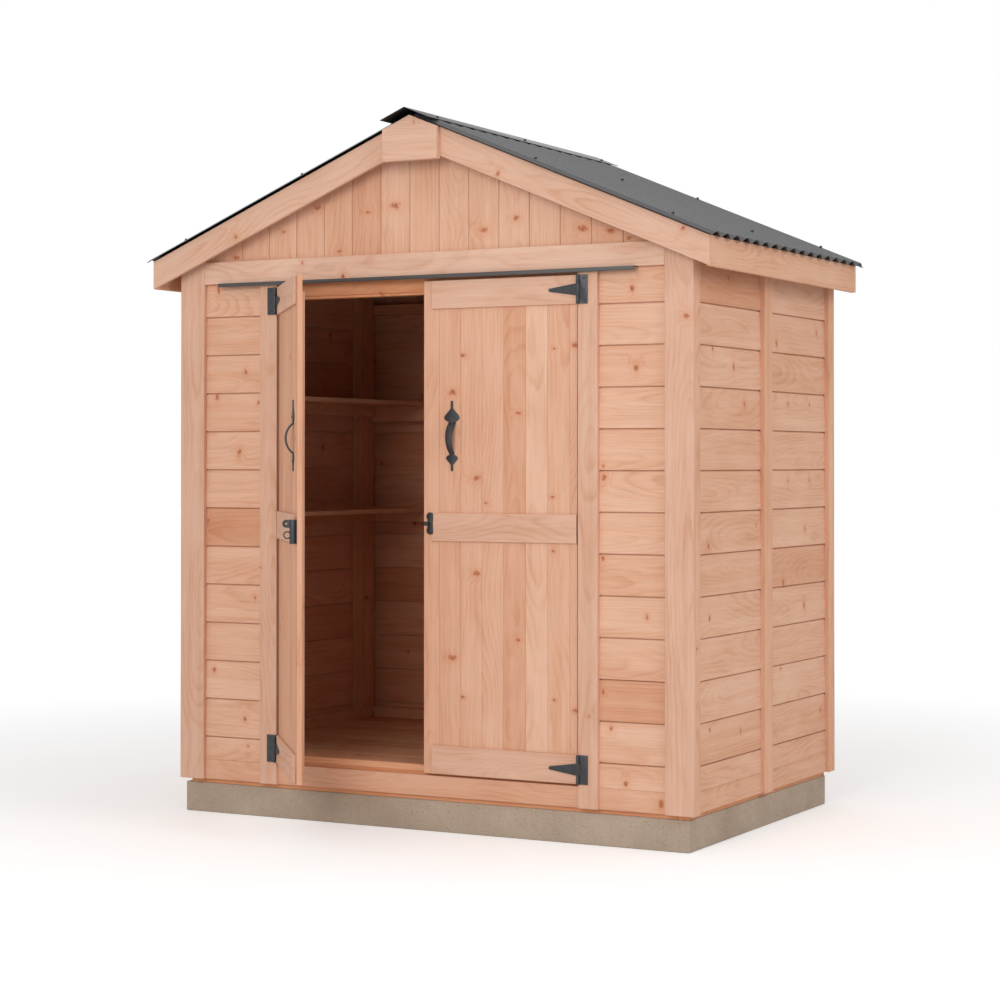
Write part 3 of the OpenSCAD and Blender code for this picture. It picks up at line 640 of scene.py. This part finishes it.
door_boarding("right_door", 1, (0.34, 0.5), {4: (0.62, 0.68), 5: (0.18, 0.24)}, None, DOOR_KNOTS)
door_boarding("left_door", -1, (0.5, 0.72), {}, SWING)


# Floor boards along the shed

FLOOR_ROWS, FLOOR_EASE, FLOOR_KNOTS_A_METRE = 7, 0.0020, 1.2
FLOOR_CUT, FLOOR_STAGGER, FLOOR_CYCLE = -0.2, 0.3, 3
ROW_GAP, END_GAP, DOORWAY_GAP = 0.0007, 0.0004, 0.0002


def floor():
    """Rows of boards with staggered ends; the first row has a longer piece in the doorway."""
    lumber = Lumber()
    low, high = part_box("floor_boards")
    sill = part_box("floor_frame")[0].y
    pitch = (high.y - low.y) / FLOOR_ROWS
    shoulder = high.z - FLOOR_EASE
    for i in range(FLOOR_ROWS):
        x, cut = high.x, FLOOR_CUT + FLOOR_STAGGER * (i % FLOOR_CYCLE)
        front, y1 = low.y + i * pitch + ROW_GAP, low.y + (i + 1) * pitch - ROW_GAP
        spans = [(-x, cut - END_GAP, front), (cut + END_GAP, x, front)]
        if i == 0:
            spans = [(-x, -OPENING_X, front), (-OPENING_X + DOORWAY_GAP, OPENING_X - DOORWAY_GAP, sill),
                     (OPENING_X, x, front)]
        for s0, s1, y0 in spans:
            section = [(y0, low.z), (y1, low.z), (y1, shoulder), (y1 - FLOOR_EASE, high.z),
                       (y0 + FLOOR_EASE, high.z), (y0, shoulder)]
            lumber.board(section, lambda s, u, w: (s, u, w), s0, s1,
                         chance_knots(s0, s1, y0, y1, FLOOR_KNOTS_A_METRE))
    lumber.piece("floor_planks", FRAMING, "shed", ("floor_boards",))


floor()

# Trim and framing, then ironwork and sheet metal
TRIM_KNOTS = [(-0.287, -HALF_D, 1.728, 0.0085), (-0.441, -HALF_D, 1.777, 0.0053),
              (0.297, -RAKE_Y, 2.012, 0.0075), (0.905, -RAKE_Y, 1.818, 0.0075),
              (-0.659, -RAKE_Y, 1.864, 0.0070)]
# Wood and tones of the planed boards
TRIM_LOOKS = {
    "front_corner_boards": (TRIM, (0.50, 0.56)), "back_corner_boards": (TRIM, (0.40, 0.52)),
    "door_jamb_trims": (TRIM, (0.54, 0.60)), "side_corner_boards": (CEDAR, (0.42, 0.52)),
    "wall_battens": (CEDAR, (0.44, 0.54)), "header_trims": (TRIM, (0.24, 0.30)),
    "rake_boards": (TRIM, (0.42, 0.50)), "peak_plates": (TRIM, (0.40, 0.46)),
    "eave_fascias": (CEDAR, (0.44, 0.54)), "skirt_boards": (CEDAR, (0.46, 0.54))}
LINTEL_TONES, FRAMING_TONES, RAIL_TONES = (0.40, 0.46), (0.3, 0.6), (0.50, 0.58)
TRIM_KNOTS_A_METRE, RAIL_KNOTS_A_METRE, STILE_KNOTS_A_METRE = 0.3, 0.4, 0.7
ON_SIDING = ("front_corner_boards", "back_corner_boards", "side_corner_boards", "wall_battens",
             "door_jamb_trims")
for node, (material, tones) in TRIM_LOOKS.items():
    on_siding = node in ON_SIDING
    planks(node, material, "shed", EASE_PLANED, TRIM_KNOTS_A_METRE, tones,
           () if on_siding else TRIM_KNOTS, sunk(node, LAP) if on_siding else None)
planks("door_lintel", FRAMING, "shed", tones=LINTEL_TONES)
for node in ("floor_frame", "roof_frame", "wall_plates", "wall_studs", "upper_shelf", "lower_shelf",
             "shelf_cleats", "roof_decks"):
    planks(node, FRAMING, "shed", tones=FRAMING_TONES)
for leaf in ("left_door", "right_door"):
    planks(leaf + "_rails", TRIM, leaf, EASE_PLANED, RAIL_KNOTS_A_METRE, RAIL_TONES)
    planks(leaf + "_stiles", CEDAR, leaf, EASE_PLANED, STILE_KNOTS_A_METRE)
    for node in ("handle", "straps"):
        cast(leaf + "_" + node, IRON, leaf, EASE_IRON)
for node, body in (("left_door_latch", "left_door"), ("right_door_striker", "right_door"),
                   ("hinge_plates", "shed")):
    cast(node, IRON, body, EASE_IRON)
cast("drip_flashing", FLASHING, "shed", EASE_FLASHING)
cast("concrete_base", CONCRETE, "shed", EASE_CONCRETE, segments=3)
cast("ridge_cap", ROOFING, "shed", EASE_CAP)
for node in ("left_roof_sheet", "right_roof_sheet"):
    cast(node, ROOFING, "shed", EASE_SHEET, segments=1, sharp=60)


# Screws: a turned pan head on ironwork, a hexagon head and a washer on the roof

def turned(work, profile, at, axis, sides):
    """A round or faceted head turned from [(radius, height)], the last radius being its crown."""
    turn = Vector(axis).to_track_quat("Z", "Y").to_matrix()
    rings = []
    for r, h in profile:
        rings.append([work.verts.new(Vector(at) + turn @ Vector((r * math.cos(a), r * math.sin(a), h)))
                      for a in (2 * math.pi * i / sides for i in range(sides))])
    work.faces.new(rings[0][::-1])
    work.faces.new(rings[-1])
    for low, high in zip(rings, rings[1:]):
        for i in range(sides):
            j = (i + 1) % sides
            work.faces.new((low[i], low[j], high[j], high[i]))


def screws(name, heads, material, body, matrix=None):
    """One piece of several heads, each (place, axis, profile, sides)."""
    work = bmesh.new()
    for at, axis, profile, sides in heads:
        turned(work, profile, at, axis, sides)
    if matrix:
        work.transform(matrix)
    mesh = bpy.data.meshes.new(name)
    work.to_mesh(mesh)
    work.free()
    add_piece(name, mesh, material, body, smooth=True)


PAN = [(0.0031, -0.0006), (0.0031, 0.0005), (0.0026, 0.0013), (0.0015, 0.0018), (0.0006, 0.0019)]
WASHER = [(0.0065, -0.0010), (0.0065, 0.0006), (0.0054, 0.0012), (0.0040, 0.0014)]
HEX = [(0.0040, 0.0008), (0.0040, 0.0042), (0.0034, 0.0050)]
PAN_SIDES, WASHER_SIDES, HEX_SIDES = 16, 20, 6
OUT = (0.0, -1.0, 0.0)
HINGE_ZS, STRAP_FACE = (0.2255, 1.6575), -0.5905
STRAP_HOLES = ((0.022, 0.009), (0.022, -0.009), (0.052, 0.0), (0.082, 0.0))  # reach, rise
PLATE_HOLES = ((0.02, 0.033), (0.02, 0.0), (0.02, -0.033))
HANDLE_X, HANDLE_FACE = 0.104, -0.5835
HANDLE_HOLES = ((-0.013, 1.278), (0.013, 1.278), (0.0, 1.1445))  # aside, height
STRIKER_X, STRIKER_FACE, STRIKER_ZS = 0.0265, -0.5825, (0.9305, 0.9735)


def leaf_screws(body, sign, matrix):
    """Screws of the straps, the handle and the plate at the meeting edge of one leaf."""
    places = [(sign * (PIVOT_X - reach), STRAP_FACE, z + rise)
              for z in HINGE_ZS for reach, rise in STRAP_HOLES]
    places += [(sign * (HANDLE_X + aside), HANDLE_FACE, z) for aside, z in HANDLE_HOLES]
    if sign > 0:
        places += [(STRIKER_X, STRIKER_FACE, z) for z in STRIKER_ZS]
    heads = [(at, OUT, PAN, PAN_SIDES) for at in places]
    screws(body + "_screws", heads, IRON, body, matrix)


leaf_screws("right_door", 1, None)
leaf_screws("left_door", -1, SWING)
screws("hinge_plate_screws",
       [((side * (PIVOT_X + reach), STRAP_FACE, z + rise), OUT, PAN, PAN_SIDES)
        for side in (-1, 1) for z in HINGE_ZS for reach, rise in PLATE_HOLES],
       IRON, "shed")


FIRST_CREST_Y, WAVE_PITCH, SCREW_CRESTS = -0.6251, 0.076, (0, 8, 16)
SHEET_REACHES, SHEET_LIFT = (0.41, 0.86), 0.0163
CAP_REACH, CAP_YS, CAP_LIFT, SCREW_SINK = 0.055, (-0.60, -0.02, 0.56), 0.0189, 0.0002


def roof_screws():
    """Hexagon screws with washers, on crests of the sheets and along the cap."""
    heads = []
    for side in (-1, 1):
        up = Vector((side * SLOPE, 0.0, 1.0)).normalized()
        spots = [(reach, FIRST_CREST_Y + WAVE_PITCH * crest, SHEET_LIFT)
                 for reach in SHEET_REACHES for crest in SCREW_CRESTS]
        spots += [(CAP_REACH, y, CAP_LIFT) for y in CAP_YS]
        for reach, y, lift in spots:
            at = Vector((side * reach, y, PEAK_Z - SLOPE * reach)) + up * (lift - SCREW_SINK)
            heads += [(at, up, WASHER, WASHER_SIDES), (at, up, HEX, HEX_SIDES)]
    screws("roof_screws", heads, ROOFING, "shed")


roof_screws()


# Stage: pale floor, soft light, the photograph's camera

STAGE_HALF, STAGE_COLOUR, WHITE = 40.0, (0.9, 0.9, 0.9, 1), (1, 1, 1, 1)
GLOW_NEAR, GLOW_MORE, GLOW_FROM, GLOW_TO = 0.25, 0.25, 1.2, 6.0
SKY_LIGHT, SKY_SEEN = 0.62, 1.0


def stage():
    """Pale floor which keeps the shed's shadow."""
    s = Shader("stage_floor")
    # The glow that keeps the far floor white fades near the shed, where its shadow falls
    place = s.node("TexCoord").outputs["Object"]
    away = s.node("VectorMath", {0: place}, operation="LENGTH").outputs["Value"]
    level = s.math("MULTIPLY_ADD", s.step(away, GLOW_FROM, GLOW_TO), GLOW_MORE, GLOW_NEAR)
    base = s.node("BsdfDiffuse", {"Color": STAGE_COLOUR})
    glow = s.node("Emission", {"Color": WHITE, "Strength": s.math("MULTIPLY", s.seen(), level)})
    both = s.node("AddShader", {0: base.outputs[0], 1: glow.outputs[0]})
    s.put(s.out.inputs["Surface"], both.outputs[0])
    mesh = bpy.data.meshes.new("stage_floor")
    r = STAGE_HALF
    mesh.from_pydata([(-r, -r, 0), (r, -r, 0), (r, r, 0), (-r, r, 0)], [], [(0, 1, 2, 3)])
    mesh.materials.append(s.mat)
    obj = bpy.data.objects.new("stage_floor", mesh)
    bpy.context.scene.collection.objects.link(obj)


def world():
    """Soft light from all round, behind a background that is seen as white."""
    sky = bpy.data.worlds.new("studio")
    bpy.context.scene.world = sky
    s = Nodes(sky, "OutputWorld")
    level = s.node("MapRange", {"Value": s.seen(), "To Min": SKY_LIGHT, "To Max": SKY_SEEN})
    glow = s.node("Background", {"Color": WHITE, "Strength": level.outputs[0]})
    s.put(s.out.inputs["Surface"], glow.outputs[0])


def lamp(name, at, target, size, watts):
    """A round area lamp that looks at a target."""
    light = bpy.data.lights.new(name, "AREA")
    light.shape, light.size, light.energy = "DISK", size, watts
    obj = bpy.data.objects.new(name, light)
    obj.location = at
    obj.rotation_euler = (Vector(target) - Vector(at)).to_track_quat("-Z", "Y").to_euler()
    bpy.context.scene.collection.objects.link(obj)


SENSOR, FOCAL_SHARE, LENS_SHIFT, VIEW_END = 36.0, 2.3245, -0.0658, 200.0
CAMERA_AT, CAMERA_TILT, CAMERA_TURN = (3.6254, -6.8012, 1.1430), 0.0118, 0.4945


def camera():
    """The photograph's view, as fitted to the solids."""
    lens = bpy.data.cameras.new("photo_view")
    lens.sensor_width, lens.lens = SENSOR, FOCAL_SHARE * SENSOR
    lens.shift_y = LENS_SHIFT
    lens.clip_end = VIEW_END
    obj = bpy.data.objects.new("photo_view", lens)
    obj.location = CAMERA_AT
    obj.rotation_euler = (math.pi / 2 + CAMERA_TILT, 0.0, CAMERA_TURN)
    bpy.context.scene.collection.objects.link(obj)
    bpy.context.scene.camera = obj


stage()
world()
lamp("key", (1.0, -6.8, 3.0), (0, 0, 1.0), 3.0, 149)
lamp("side", (6.0, -2.0, 3.5), (0.9, 0, 1.0), 3.0, 90)
camera()
bpy.context.scene.view_settings.view_transform = "Standard"
